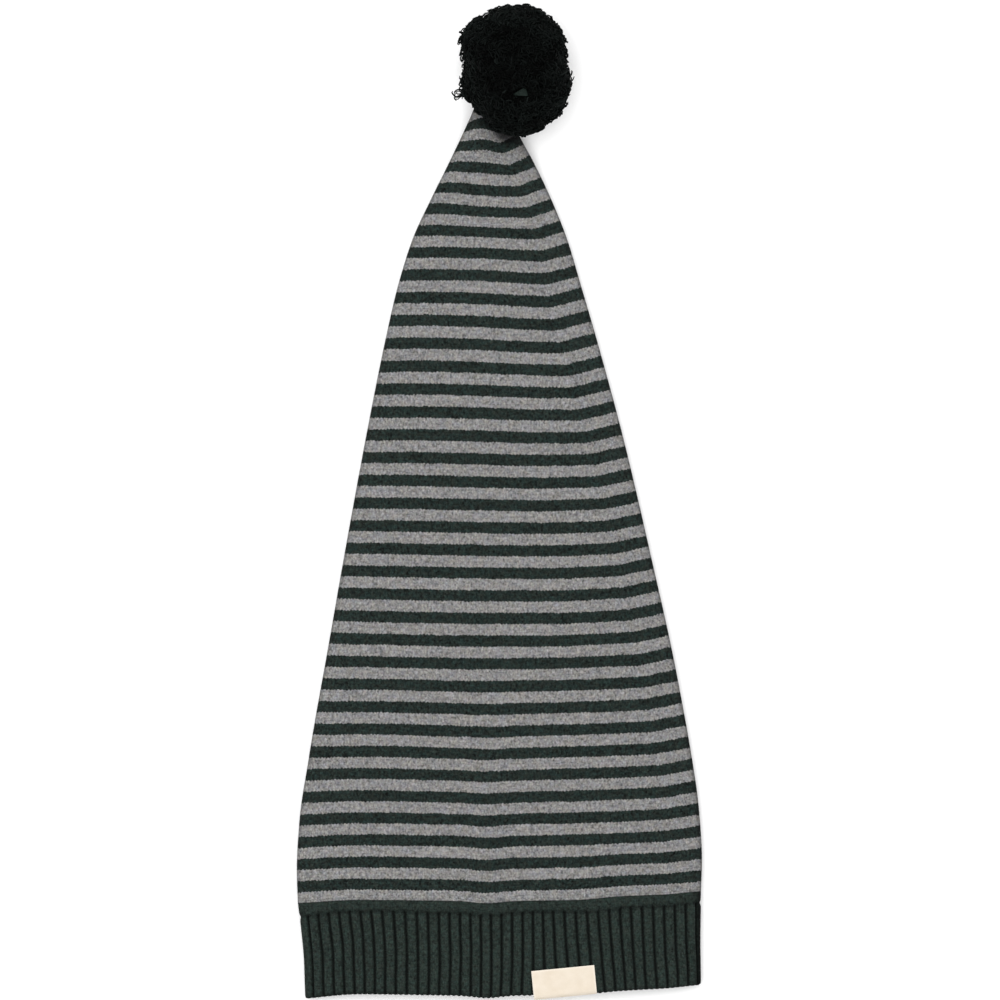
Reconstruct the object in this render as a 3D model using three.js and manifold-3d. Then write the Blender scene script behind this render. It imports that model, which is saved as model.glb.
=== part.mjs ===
// A knitted elf hat that lies flat on its back, its mouth towards -Y and its pompom towards +Y.
// Lengths are in millimetres and +Z is up. The hat rests on z = 0, and the origin is in the
// middle of its underside.

import * as THREE from 'three';
import Module from 'manifold-3d';
import { mergeVertices } from 'three/addons/utils/BufferGeometryUtils.js';

const wasm = await Module();
wasm.setup();

// Driving dimensions of the crown, the long knitted cone
const crownLength = 403;
const crownHalfWidth = 101.3;
const crownHeight = 14;
const crownWall = 2;
const tipRise = 14;

// Driving dimensions of the ribbed band round the mouth
const bandHeight = 45.5;
const bandWall = 3;
const plainStrip = 4;
const ribCount = 76;
const ribRelief = 0.9;
const ribLean = 2.5;
const lipRound = 1.2;
const rowRise = 5.5;

// Driving dimensions of the label folded over the front edge of the mouth
const labelWidth = 31.6;
const labelHeight = 14.2;
const labelCloth = 0.6;
const labelSide = 32.7;
const labelDrop = 1.6;
const labelTilt = THREE.MathUtils.degToRad(5.4);

// Driving dimensions of the pompom
const pompomWidth = 57.5;
const pompomLength = 66.5;
const pompomHeight = 56;
const pompomSide = 7.7;
const pompomPress = 2;
const lockCount = 60;
const lockRadius = 7;
const tipReach = 20.5;

// Clearances between neighbours
const seamGap = 0.3;
const seatGap = 0.3;
const labelGap = 0.3;

// How finely the soft forms are faceted
const crownSides = 36;
const lockSides = 5;
const coreDetail = 3;

// The cut through the flattened tube: how square its top and underside are, where the side
// folds lie in its height, and how hard the underside is pressed flat on the surface.
const topSquareness = 2.5;
const underSquareness = 4;
const foldShare = 0.38;
const underPress = 1.08;

// Each row is a cut through the crown. along is a share of crownLength from the seam, half and
// lean are shares of crownHalfWidth, height is a share of crownHeight and rise of tipRise.
const crownCuts = [
  { along: 0.0, half: 0.995, lean: -0.003, height: 1.0, rise: 0.0 },
  { along: 0.04, half: 1.0, lean: -0.003, height: 1.0, rise: 0.0 },
  { along: 0.1, half: 0.987, lean: -0.003, height: 0.99, rise: 0.0 },
  { along: 0.178, half: 0.943, lean: 0.0, height: 0.98, rise: 0.0 },
  { along: 0.277, half: 0.874, lean: 0.0, height: 0.97, rise: 0.0 },
  { along: 0.425, half: 0.758, lean: -0.012, height: 0.95, rise: 0.0 },
  { along: 0.573, half: 0.635, lean: -0.027, height: 0.93, rise: 0.0 },
  { along: 0.696, half: 0.52, lean: -0.044, height: 0.9, rise: 0.0 },
  { along: 0.77, half: 0.442, lean: -0.052, height: 0.87, rise: 0.0 },
  { along: 0.82, half: 0.38, lean: -0.05, height: 0.84, rise: 0.0 },
  { along: 0.869, half: 0.296, lean: -0.044, height: 0.8, rise: 0.0 },
  { along: 0.906, half: 0.225, lean: -0.042, height: 0.76, rise: 0.06 },
  { along: 0.943, half: 0.15, lean: -0.046, height: 0.72, rise: 0.28 },
  { along: 0.97, half: 0.096, lean: -0.05, height: 0.64, rise: 0.58 },
  { along: 0.988, half: 0.066, lean: -0.048, height: 0.52, rise: 0.86 },
  { along: 1.0, half: 0.03, lean: -0.045, height: 0.25, rise: 1.12 },
];

// Each row is a cut through the band. along is a share of bandHeight from the mouth.
const bandCuts = [
  { along: 0.0, half: 0.976, lean: 0.015 },
  { along: 0.4, half: 0.978, lean: 0.01 },
  { along: 0.8, half: 0.988, lean: 0.002 },
  { along: 1.0, half: 0.995, lean: -0.003 },
];

// How the knitted rows lie across the hat. across runs from the left fold at -1 to the right
// fold at 1, and lift is a share of rowRise. The rows straighten over rowFade of the crown.
const rowLie = [
  { across: -1.0, lift: -0.36 },
  { across: -0.55, lift: -0.08 },
  { across: -0.1, lift: -0.46 },
  { across: 0.45, lift: -0.04 },
  { across: 1.0, lift: 0.6 },
];
const rowFade = 0.3;

// Places along Y, from the label's low corner at the mouth to the far side of the pompom
const labelCorner = labelDrop + labelWidth / 2 * Math.sin(labelTilt) - rowLift(labelSide / crownHalfWidth);
const overallLength = labelCorner + bandHeight + seamGap + crownLength - tipReach + pompomLength;
const hemY = labelCorner - overallLength / 2;
const crownY = hemY + bandHeight + seamGap;
const tipY = crownY + crownLength;

// Where the hollow inside the crown ends, and the places of the rings of facets along it
const hollowEnd = 0.962;
const crownStations = [
  0.0, 0.04, 0.1, 0.178, 0.277, 0.351, 0.425, 0.5, 0.573, 0.635, 0.696, 0.735,
  0.77, 0.82, 0.845, 0.869, 0.906, 0.925, 0.943, hollowEnd, 0.972, 0.988, 0.997,
];

// The smooth curve through one column of a table whose rows are in order of the key column. It
// never runs past the values of the two rows that it lies between.
function readTable(rows, key, column, at) {
  const last = rows.length - 1;
  const place = THREE.MathUtils.clamp(at, rows[0][key], rows[last][key]);
  let row = 0;
  while (row < last - 1 && place > rows[row + 1][key]) {
    row += 1;
  }
  const steepness = (from) => {
    const start = THREE.MathUtils.clamp(from, 0, last - 1);
    return (rows[start + 1][column] - rows[start][column]) / (rows[start + 1][key] - rows[start][key]);
  };
  const blend = (before, after) => (before * after > 0 ? 2 * before * after / (before + after) : 0);
  const span = rows[row + 1][key] - rows[row][key];
  const share = (place - rows[row][key]) / span;
  const slopeIn = blend(steepness(row - 1), steepness(row));
  const slopeOut = blend(steepness(row), steepness(row + 1));
  const shareLeft = 1 - share;
  return rows[row][column] * shareLeft * shareLeft * (1 + 2 * share)
    + rows[row + 1][column] * share * share * (3 - 2 * share)
    + span * share * shareLeft * (slopeIn * shareLeft - slopeOut * share);
}

// The outline of a cut through the flattened tube, once round from its right fold over the top.
// A positive inset draws it inside the outer face, a negative one outside it.
class TubeCut extends THREE.Curve {
  constructor(halfWidth, height, inset) {
    super();
    const fold = foldShare * height;
    this.arcLengthDivisions = 720;
    this.halfWidth = halfWidth - inset;
    this.fold = fold;
    this.topRise = height - fold - inset;
    this.underDrop = fold - inset;
  }

  getPoint(turn, target = new THREE.Vector3()) {
    const across = Math.cos(2 * Math.PI * turn);
    const onTop = Math.sin(2 * Math.PI * turn) >= 0;
    const squareness = onTop ? topSquareness : underSquareness;
    const swell = (1 - Math.abs(across) ** squareness) ** (1 / squareness);
    const level = onTop ? this.topRise * swell : -this.underDrop * Math.min(1, underPress * swell);
    return target.set(this.halfWidth * across, 0, this.fold + level);
  }
}

// How far the knitted rows lie above or below their level at a place across the hat.
function rowLift(across) {
  return rowRise * readTable(rowLie, 'across', 'lift', across);
}

// One ring of the crown's outer or inner face.
function crownRing(along, inset) {
  const halfWidth = crownHalfWidth * readTable(crownCuts, 'along', 'half', along);
  const lean = crownHalfWidth * readTable(crownCuts, 'along', 'lean', along);
  const height = crownHeight * readTable(crownCuts, 'along', 'height', along);
  const rise = tipRise * readTable(crownCuts, 'along', 'rise', along);
  const cut = new TubeCut(halfWidth, height, inset);
  const lie = Math.max(0, 1 - along / rowFade);
  const ring = [];
  for (let side = 0; side < crownSides; side += 1) {
    const point = cut.getPoint(side / crownSides);
    const y = crownY + along * crownLength + lie * rowLift(point.x / cut.halfWidth);
    ring.push(new THREE.Vector3(point.x + lean, y, point.z + rise));
  }
  return ring;
}

// One ring of the band's outer or inner face. relief is the share of the ribs' depth that shows.
function bandRing(y, inset, relief) {
  const along = THREE.MathUtils.clamp(y / bandHeight, 0, 1);
  const halfWidth = crownHalfWidth * readTable(bandCuts, 'along', 'half', along);
  const lean = crownHalfWidth * readTable(bandCuts, 'along', 'lean', along);
  const crest = new TubeCut(halfWidth, crownHeight, inset);
  const valley = new TubeCut(halfWidth, crownHeight, inset + relief * ribRelief);
  const turnOfLean = (1 - along) * ribLean / crest.getLength();
  const ring = [];
  for (let rib = 0; rib < ribCount; rib += 1) {
    for (const [cut, place] of [[valley, 0], [crest, 0.22], [crest, 0.78]]) {
      const turn = (rib + place) / ribCount - turnOfLean;
      const point = cut.getPointAt(THREE.MathUtils.euclideanModulo(turn, 1));
      const lift = rowLift(point.x / cut.halfWidth);
      ring.push(new THREE.Vector3(point.x + lean, hemY + y + lift, point.z));
    }
  }
  return ring;
}

// A closed mesh through rings of equal length. With poles it is closed by a fan at each end, and
// without them the last ring is joined to the first.
function ringedGeometry(rings, poles) {
  const points = [];
  const sides = rings[0].length;
  for (const ring of rings) {
    for (const point of ring) {
      points.push(point.x, point.y, point.z);
    }
  }
  const faces = [];
  const bands = poles ? rings.length - 1 : rings.length;
  for (let row = 0; row < bands; row += 1) {
    const here = row * sides;
    const next = ((row + 1) % rings.length) * sides;
    for (let side = 0; side < sides; side += 1) {
      const beside = (side + 1) % sides;
      faces.push(here + side, here + beside, next + beside);
      faces.push(here + side, next + beside, next + side);
    }
  }
  if (poles) {
    for (const [pole, start, ahead] of [[poles[0], 0, false], [poles[1], (rings.length - 1) * sides, true]]) {
      const apex = points.length / 3;
      points.push(pole.x, pole.y, pole.z);
      for (let side = 0; side < sides; side += 1) {
        const beside = (side + 1) % sides;
        faces.push(apex, start + (ahead ? side : beside), start + (ahead ? beside : side));
      }
    }
  }
  return meshGeometry(points, faces);
}

// A geometry from a list of coordinates and a list of corner numbers.
function meshGeometry(points, faces) {
  const geometry = new THREE.BufferGeometry();
  geometry.setAttribute('position', new THREE.Float32BufferAttribute(points, 3));
  geometry.setIndex(faces);
  return geometry;
}

// The middle of a ring, moved along Y.
function poleOf(ring, reach) {
  const pole = new THREE.Vector3();
  for (const point of ring) {
    pole.add(point);
  }
  pole.divideScalar(ring.length);
  pole.y += reach;
  return pole;
}

// The crown: an outer face down from the closed tip to the seam, and an inner face back up.
function crownGeometry() {
  const outer = crownStations.map((along) => crownRing(along, 0));
  const inner = crownStations.filter((along) => along <= hollowEnd).map((along) => crownRing(along, crownWall));
  const outerPole = poleOf(outer[outer.length - 1], (1 - crownStations[crownStations.length - 1]) * crownLength);
  const innerPole = poleOf(inner[inner.length - 1], crownWall);
  return ringedGeometry([...outer.reverse(), ...inner], [outerPole, innerPole]);
}

// The crown's tip as a plain solid, grown by a clearance, to cut the seat for it.
function tipGeometry(growth) {
  const stations = crownStations.filter((along) => along > 1 - 2 * tipReach / crownLength);
  const rings = stations.map((along) => crownRing(along, -growth));
  const firstPole = poleOf(rings[0], -growth);
  const lastPole = poleOf(rings[rings.length - 1], (1 - stations[stations.length - 1]) * crownLength + growth);
  return ringedGeometry(rings.reverse(), [lastPole, firstPole]);
}

// The ribbed band: outer face from the lip to the seam, then the smooth inner face back.
function bandGeometry() {
  const ribTop = bandHeight - plainStrip;
  const ribFade = plainStrip / 4;
  return ringedGeometry([
    bandRing(0, bandWall / 2, ribRelief / bandWall),
    bandRing(lipRound, bandWall, 0),
    bandRing(bandHeight, bandWall, 0),
    bandRing(bandHeight, 0, 0),
    bandRing(ribTop + ribFade, 0, 0),
    bandRing(ribTop - ribFade, 0, 1),
    bandRing(ribTop / 2, 0, 1),
    bandRing(lipRound, 0, 1),
  ], null);
}

// The height of the middle of the band's top wall at a place across the hat.
function bandWallLevel(x) {
  const cut = new TubeCut(crownHalfWidth * bandCuts[0].half, crownHeight, bandWall / 2);
  const across = Math.min(1, Math.abs(x - crownHalfWidth * bandCuts[0].lean) / cut.halfWidth);
  return cut.fold + cut.topRise * (1 - across ** topSquareness) ** (1 / topSquareness);
}

// The label's cut: two leaves joined by a round fold, drawn along its outer and inner faces.
function labelCut() {
  const turnSteps = 6;
  const middle = bandWall / 2 + labelGap + labelCloth / 2;
  const outer = [];
  const inner = [];
  const addPair = (along, level, acrossY, acrossZ) => {
    const half = labelCloth / 2;
    outer.push(new THREE.Vector2(along + half * acrossY, level + half * acrossZ));
    inner.push(new THREE.Vector2(along - half * acrossY, level - half * acrossZ));
  };
  const foldAt = middle + labelCloth / 2;
  addPair(labelHeight, middle, 0, 1);
  addPair((labelHeight + foldAt) / 2, middle, 0, 1);
  for (let step = 0; step <= turnSteps; step += 1) {
    const turn = Math.PI * step / turnSteps;
    const acrossY = -Math.sin(turn);
    const acrossZ = Math.cos(turn);
    addPair(foldAt + middle * acrossY, middle * acrossZ, acrossY, acrossZ);
  }
  addPair((labelHeight + foldAt) / 2, -middle, 0, -1);
  addPair(labelHeight, -middle, 0, -1);
  return { outer, inner };
}

// The label: its cut swept across its width, following the band's top wall.
function labelGeometry() {
  const stations = 6;
  const { outer, inner } = labelCut();
  const outline = [...outer, ...inner.reverse()];
  const foldLine = hemY + rowLift(labelSide / crownHalfWidth) - labelDrop;
  const points = [];
  for (let station = 0; station < stations; station += 1) {
    const across = labelWidth * (station / (stations - 1) - 0.5);
    for (const corner of outline) {
      const x = labelSide + across * Math.cos(labelTilt) - corner.x * Math.sin(labelTilt);
      const y = foldLine + across * Math.sin(labelTilt) + corner.x * Math.cos(labelTilt);
      points.push(x, y, bandWallLevel(x) + corner.y);
    }
  }
  const corners = outline.length;
  const faces = [];
  for (let station = 0; station < stations - 1; station += 1) {
    const here = station * corners;
    for (let corner = 0; corner < corners; corner += 1) {
      const beside = (corner + 1) % corners;
      faces.push(here + corner, here + beside, here + corners + beside);
      faces.push(here + corner, here + corners + beside, here + corners + corner);
    }
  }
  const far = (stations - 1) * corners;
  for (let pair = 0; pair < corners / 2 - 1; pair += 1) {
    const opposite = corners - 1 - pair;
    faces.push(pair, opposite, pair + 1);
    faces.push(pair + 1, opposite, opposite - 1);
    faces.push(far + pair, far + pair + 1, far + opposite);
    faces.push(far + pair + 1, far + opposite - 1, far + opposite);
  }
  return meshGeometry(points, faces);
}

// A geometry as a solid that can be joined and cut.
function solidOf(geometry) {
  const bare = geometry.clone();
  bare.deleteAttribute('normal');
  bare.deleteAttribute('uv');
  const merged = mergeVertices(bare);
  const vertProperties = new Float32Array(merged.getAttribute('position').array);
  const triVerts = new Uint32Array(merged.getIndex().array);
  return new wasm.Manifold(new wasm.Mesh({ numProp: 3, vertProperties, triVerts }));
}

// A solid as a geometry again.
function geometryOf(solid) {
  const mesh = solid.getMesh();
  return meshGeometry(mesh.vertProperties, Array.from(mesh.triVerts));
}

// One lock of the pompom: a tuft that swells towards its blunt, domed end, along +Z.
function lockGeometry(radius, reach) {
  const profile = [
    new THREE.Vector2(0, 0),
    new THREE.Vector2(radius * 0.7, 0),
    new THREE.Vector2(radius, reach * 0.86),
    new THREE.Vector2(radius * 0.62, reach * 0.965),
    new THREE.Vector2(0, reach),
  ];
  const lock = new THREE.LatheGeometry(profile, lockSides);
  lock.rotateX(Math.PI / 2);
  return lock;
}

// The pompom: a core with locks of yarn all round, pressed flat where it rests, and cut out
// round the crown's tip.
function pompomGeometry() {
  const radii = new THREE.Vector3(pompomWidth, pompomLength, pompomHeight + pompomPress).multiplyScalar(0.5);
  const centre = new THREE.Vector3(pompomSide, tipY - tipReach + radii.y, radii.z - pompomPress);
  const coreShare = 0.88;
  const core = new THREE.IcosahedronGeometry(1, coreDetail);
  core.scale(coreShare * radii.x, coreShare * radii.y, coreShare * radii.z);
  let pompom = solidOf(core);
  const goldenTurn = Math.PI * (3 - Math.sqrt(5));
  const up = new THREE.Vector3(0, 0, 1);
  for (let lock = 0; lock < lockCount; lock += 1) {
    const level = 1 - 2 * (lock + 0.5) / lockCount;
    const turn = goldenTurn * lock;
    const round = Math.sqrt(1 - level * level);
    const way = new THREE.Vector3(round * Math.cos(turn), level, round * Math.sin(turn));
    const reach = way.clone().multiply(radii).length();
    const tuft = lockGeometry(lockRadius, reach);
    tuft.applyQuaternion(new THREE.Quaternion().setFromUnitVectors(up, way.clone().multiply(radii).normalize()));
    pompom = pompom.add(solidOf(tuft));
  }
  const floorDepth = pompomHeight;
  const floor = new THREE.BoxGeometry(2 * pompomWidth, 2 * pompomLength, floorDepth);
  floor.translate(0, 0, -centre.z - floorDepth / 2);
  const tip = tipGeometry(seatGap);
  tip.translate(-centre.x, -centre.y, -centre.z);
  pompom = pompom.subtract(solidOf(floor)).subtract(solidOf(tip));
  const geometry = geometryOf(pompom);
  geometry.translate(centre.x, centre.y, centre.z);
  return geometry;
}

// A named piece of the hat in its own colour.
function piece(name, geometry, colour, roughness) {
  const material = new THREE.MeshStandardMaterial({ color: colour, roughness, metalness: 0 });
  const mesh = new THREE.Mesh(geometry, material);
  mesh.name = name;
  return mesh;
}

const elfHat = new THREE.Group();
elfHat.add(piece('crown', crownGeometry(), 0x6b706e, 0.95));
elfHat.add(piece('rib_band', bandGeometry(), 0x2a3230, 0.95));
elfHat.add(piece('label', labelGeometry(), 0xf4e8d5, 0.85));
elfHat.add(piece('pompom', pompomGeometry(), 0x0c0e0d, 0.98));

export default elfHat;
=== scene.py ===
"""A knitted elf hat lying flat on its back, seen from straight above. Lengths are in metres."""
import math

import bpy
import numpy as np
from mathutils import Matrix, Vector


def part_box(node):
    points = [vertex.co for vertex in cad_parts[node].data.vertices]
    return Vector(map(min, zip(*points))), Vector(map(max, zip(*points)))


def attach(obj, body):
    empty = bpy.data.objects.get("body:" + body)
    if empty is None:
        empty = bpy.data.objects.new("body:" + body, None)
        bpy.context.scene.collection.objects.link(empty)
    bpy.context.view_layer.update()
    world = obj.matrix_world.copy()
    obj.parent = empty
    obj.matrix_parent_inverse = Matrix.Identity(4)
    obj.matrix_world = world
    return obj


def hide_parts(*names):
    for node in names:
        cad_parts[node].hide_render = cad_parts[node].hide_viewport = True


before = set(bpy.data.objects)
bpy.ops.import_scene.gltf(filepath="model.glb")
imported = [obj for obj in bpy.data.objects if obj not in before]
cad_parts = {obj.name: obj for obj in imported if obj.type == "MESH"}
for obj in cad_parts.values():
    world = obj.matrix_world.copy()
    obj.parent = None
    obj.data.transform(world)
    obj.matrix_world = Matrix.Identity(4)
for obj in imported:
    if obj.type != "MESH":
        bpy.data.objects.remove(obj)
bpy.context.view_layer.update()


def table(columns, *rows):
    """Rows whose numbers are read by the names of their columns."""
    return [dict(zip(columns.split(), row)) for row in rows]


# Sizes of the crown, the long striped cone
CROWN_LENGTH = 0.403
CROWN_HALF = 0.1013
CROWN_HEIGHT = 0.014
CROWN_WALL = 0.002
CROWN_SIDES = 320
OUTER_RINGS = 216
OUTER_END = 0.998
INNER_RINGS = 60
INNER_END = 0.962
TIP_RINGS = 16
TIP_RINGS_FROM = 0.94
TIP_RISE = 0.014
END_BULGE = 0.001
LIP_BULGE = 0.00012
SEAM_LIE_REACH = 0.3

# The relief of the crown's knit: lumps, ripples, puckers at the gathered tip and a faint dent
LUMP_HEIGHT = 0.0004
RIPPLE_HEIGHT = 0.00012
GATHER_START = 0.885
GATHER_SPAN = 0.08
PUCKER_HEIGHT = 0.0009
PUCKERS_ROUND = 5.5
PUCKER_SWING = 0.3
PUCKER_WAVES = 9
DENT_X = -0.006
DENT_WIDTH = 0.004
DENT_DEPTH = 0.0006
DENT_REACH = 0.5

# Sizes of the ribbed band round the mouth
BAND_HEIGHT = 0.0472
BAND_WALL = 0.003
LEAST_BAND_WALL = 0.0007
LEAST_INNER_LEVEL = 0.0012
INNER_BAND_RINGS = 14
BAND_SAMPLES = 2401
TANGENT_REACH = 0.0004
PLAIN_STRIP = 0.0059
RIB_TOP = BAND_HEIGHT - PLAIN_STRIP
RIB_COUNT = 76
RIB_DEPTH = 0.0019
RIB_SHOULDER = 0.00025
RIB_SHOULDER_FROM = 0.1
RIB_VALLEY = 0.2
RIB_MIDDLE_GROOVE = 0.00016
RIB_MIDDLE_WIDTH = 0.06
RIB_SWAY = 0.00015
RIB_START_WAVER = 0.0005
RIB_FADE = 0.0016
INNER_RIB_DEPTH = 0.0005
INNER_RIB_VALLEY = 0.25
GROOVE_DEPTH = 0.0005
GROOVE_WIDTH = 0.0012
LIP_ROUND = 0.0013
LIP_SCALLOP = 0.0005
LIP_TURNS = (0.2, 0.4, 0.6, 0.8)
LIP_FADE = 0.0012
LIP_RIB_SHARE = 0.55
# Painted shade round the lip: how light it is left at the edge, and how far that reaches
LIP_LIGHT = 0.45
LIP_SHADE_WIDTH = 0.0013
SEAM_GAP = 0.0003

# Sizes of the label folded over the mouth's front edge
LABEL_WIDTH = 0.0316
LABEL_HEIGHT = 0.0145
LABEL_CLOTH = 0.0006
LABEL_SIDE = 0.0327
LABEL_DROP = 0.0007
LABEL_TILT = math.radians(5.5)
LABEL_GAP = 0.0003
LABEL_EDGE_WIDTH = 0.0005
LABEL_LIFT = 0.00035
LABEL_RIPPLE = 0.00012
TAPE_STATIONS = 36
LEAF_POINTS = 16
TURN_POINTS = 13

# Sizes of the stitches, the stripes and the shaping line along the right fold
WALE = 0.00165
PITCH_COURSES = 8
DARK_COURSES = 4
BAND_COURSE = 0.00141
WALES_ON_RIB = 3
ROW_RISE = 0.0055
KINK_SOFTNESS = 0.0006
KINK_SLOPE = 0.1
KINK_BY_EDGE = 0.5
EDGE_STEP = 0.01
CREASE_X = -0.0065
CREASE_WIDTH = 0.009
CREASE_REACH = 0.3
CREASE_DROP = 0.0012
STRIPE_PITCH = 0.0113
ROWS_IN_SEAM = 0.00055

# The stitches and the patterns in the yarn: V_SLANT is in rows, each scale in waves to the metre
V_SLANT = 0.35
STITCH_ROUNDNESS = 0.6
# Where the painted shade in the grooves between stitches ends, as a share of a stitch's height
GROOVE_SHADE_TOP = 0.7
FIBRE_SCALE = 1500.0
BLOTCH_SCALE = 750.0
TINT_SCALE = 900.0
HUE_SCALE = 330.0
BROWN_SCALE = 500.0
GREY_TINT = 0.16
GREEN_TINT = 0.2
NOISE_RANGE = (0.25, 0.75)
HUE_RANGE = (0.32, 0.5, 0.68)
FLECK_CHANCE = 0.00012

# The colours of the yarns and the tape
FLECK = (0.5, 0.25, 0.24)
GREY_YARN = (0.221, 0.218, 0.216)
GREY_YARN_WARM = (0.23, 0.222, 0.207)
GREY_YARN_COOL = (0.208, 0.211, 0.222)
DARK_YARN = (0.0125, 0.0225, 0.0202)
DARK_YARN_BROWN = (0.015, 0.02, 0.0168)
RIB_YARN = (0.0169, 0.0276, 0.0236)
RIB_YARN_BROWN = (0.0187, 0.0256, 0.0215)
TIE_YARN = (0.0159, 0.0232, 0.02)
CREAM = (0.614, 0.538, 0.438)
CREAM_PALE = (0.659, 0.586, 0.491)
CREAM_EDGE = (0.764, 0.7, 0.609)
BLACK_YARN = (0.00161, 0.00182, 0.00167)
# The pompom's greener colour, mixed in where its painted light is higher
BLACK_YARN_GREEN = (0.0024, 0.00318, 0.00291)
TAPE_WARP = 0.00034
TAPE_WEFT = 0.0004

# Painted shade in the knit's colour: how light it is left at the side folds, in the valleys between the
# ribs, in the painted shadow under the pompom and where the tip tucks in there, how far that reaches, and
# how deep the band's plain strip, groove and lip count beside a valley for the painted valley shade
LEFT_FOLD_LIGHT = 0.68
RIGHT_FOLD_LIGHT = 0.52
FOLD_SHADE_WIDTH = 0.00135
BAND_FOLD_LIGHT = 0.03
BAND_SHADE_WIDTH = 0.0024
VALLEY_SHADE_RANGE = (0.03, 0.75)
VALLEY_SHADE_LIGHT = 0.26
STRIP_DENT = 0.1
GROOVE_DENT = 0.42
LIP_DENT = 0.6
# Painted shadow of the pompom on the crown, and painted shadow where the tip tucks in under it
POMPOM_SHADOW_LIGHT = 0.5
POMPOM_SHADOW_WIDTH = 0.0035
TUCK_SHADOW_PLACE = (0.0035, 0.1845)
TUCK_SHADOW_RADIUS = 0.0065
TUCK_SHADOW_LIGHT = 0.17

# The cut through the flattened tube
TOP_SQUARENESS = 2.5
UNDER_SQUARENESS = 4
FOLD_SHARE = 0.38
UNDER_PRESS = 1.08

# The two sides of the hat, seen from above
LEFT = -1
RIGHT = 1

# The camera and the light
CAMERA_LENS = 500.0
CAMERA_SENSOR = 36.0
CAMERA_CLIP_END = 30
VIEW_WIDTH = 0.5
VIEW_LEVEL = 0.006
WORLD_LIGHT = 0.68
LAMPS = table(
    "name place size power",
    ("overhead", (-0.2, 0.2, 2.4), 3.0, 72),
    ("key", (-1.1, 1.2, 1.8), 1.2, 4.5),
)

# Places along Y, from the crown's tip back to the mouth
_, crown_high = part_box("crown")
SEAM_Y = crown_high[1] - CROWN_LENGTH
HEM_Y = SEAM_Y - SEAM_GAP - BAND_HEIGHT

# Each row is a cut through the crown. along is a share of the crown's length from the seam, half
# and lean are shares of its half width, height of its height and rise of the tip's rise.
CROWN_CUTS = table(
    "along half lean height rise",
    (0.0, 0.995, -0.003, 1.0, 0.0),
    (0.04, 1.0, -0.003, 1.0, 0.0),
    (0.1, 0.987, -0.003, 0.99, 0.0),
    (0.178, 0.943, 0.0, 0.98, 0.0),
    (0.277, 0.874, 0.0, 0.97, 0.0),
    (0.425, 0.758, -0.012, 0.95, 0.0),
    (0.573, 0.635, -0.027, 0.93, 0.0),
    (0.696, 0.52, -0.044, 0.9, 0.0),
    (0.77, 0.442, -0.052, 0.87, 0.0),
    (0.82, 0.38, -0.05, 0.84, 0.0),
    (0.869, 0.296, -0.044, 0.8, 0.0),
    (0.906, 0.225, -0.042, 0.76, 0.06),
    (0.943, 0.15, -0.046, 0.72, 0.28),
    (0.97, 0.096, -0.05, 0.64, 0.58),
    (0.988, 0.066, -0.048, 0.52, 0.86),
    (1.0, 0.03, -0.045, 0.25, 1.12),
)

# Each row is a cut through the band. along is a share of the band's height from the mouth.
BAND_CUTS = table(
    "along half lean",
    (0.0, 0.976, 0.015), (0.4, 0.978, 0.01),
    (0.8, 0.988, 0.002), (1.0, 0.995, -0.003),
)

# How far the knitted rows drop towards the mouth, in shares of the row rise, against their level a
# sixth of the way across: at the left fold, in the middle, right of it, near the shaping line and
# at that line. inset is the line's distance from the right fold, a share of the crown's half width.
# along is a share of the crown's length from the seam, and below 0 on the band.
ROW_LIE = table(
    "along fold middle right bend line inset",
    (-0.115, 0.5, 0.14, 0.06, -0.3, -0.52, 0.173),
    (0, 0.31, 0.09, 0, -0.34, -0.49, 0.173),
    (0.05, 0.27, 0.11, 0, -0.24, -0.4, 0.173),
    (0.08, 0.25, 0.12, 0, -0.16, -0.34, 0.173),
    (0.19, 0.07, 0.22, 0.05, -0.08, -0.24, 0.173),
    (0.35, -0.1, 0.15, 0.15, 0.01, -0.16, 0.173),
    (0.52, 0, 0.14, 0.25, 0.2, 0.13, 0.178),
    (0.6, 0.03, 0.12, 0.28, 0.31, 0.3, 0.19),
    (0.69, 0.05, 0.11, 0.31, 0.39, 0.44, 0.193),
    (0.8, 0.05, 0.06, 0.2, 0.3, 0.38, 0.157),
    (0.86, -0.02, 0.25, 0.36, 0.37, 0.36, 0.14),
    (0.91, 0.09, 0.1, 0.2, 0.28, 0.34, 0.128),
    (0.935, 0.03, -0.11, -0.04, 0.08, 0.18, 0.118),
    (0.97, 0.3, -0.2, -0.1, 0.06, 0.2, 0.08),
    (1, 0.3, -0.2, -0.1, 0.06, 0.2, 0.04),
)
ROW_PLACES = {"fold": 0.0, "level": 0.17, "middle": 0.5, "right": 0.75, "bend": 0.88, "line": 1.0}

# The height of one grey stripe and one dark stripe together, as a share of STRIPE_PITCH.
STRIPES = table(
    "along pitch",
    (0.0, 0.975), (0.15, 0.98), (0.25, 0.99), (0.4, 1.003),
    (0.55, 1.01), (0.68, 1.013), (0.78, 1.0), (0.84, 0.955),
    (0.9, 0.925), (0.94, 0.9), (1.0, 0.95),
)

# The points round one rib, as shares of its width from one valley to the next
RIB_POINTS = np.array(
    [0.0, 0.04, 0.085, 0.135, 0.19, 0.26, 0.36, 0.5, 0.64, 0.74, 0.81, 0.865, 0.915, 0.96]
)

# How the ribs lie on the front: shift moves a rib to the right all along, and lean moves its end
# at the mouth. Both are shares of one rib's width, and along runs from the left fold to the right.
RIB_LIE = table(
    "along shift lean",
    (-1.0, 0.02, 0.08), (-0.85, 0.12, -0.02),
    (-0.6, 0.08, -0.1), (-0.35, 0.4, -0.36),
    (0.0, 0.23, -0.4), (0.15, 0.12, -0.3),
    (0.27, -0.05, 0.15), (0.5, 0.03, 0.58),
    (0.7, 0.13, 0.37), (1.0, 0.4, 0.17),
)

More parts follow.
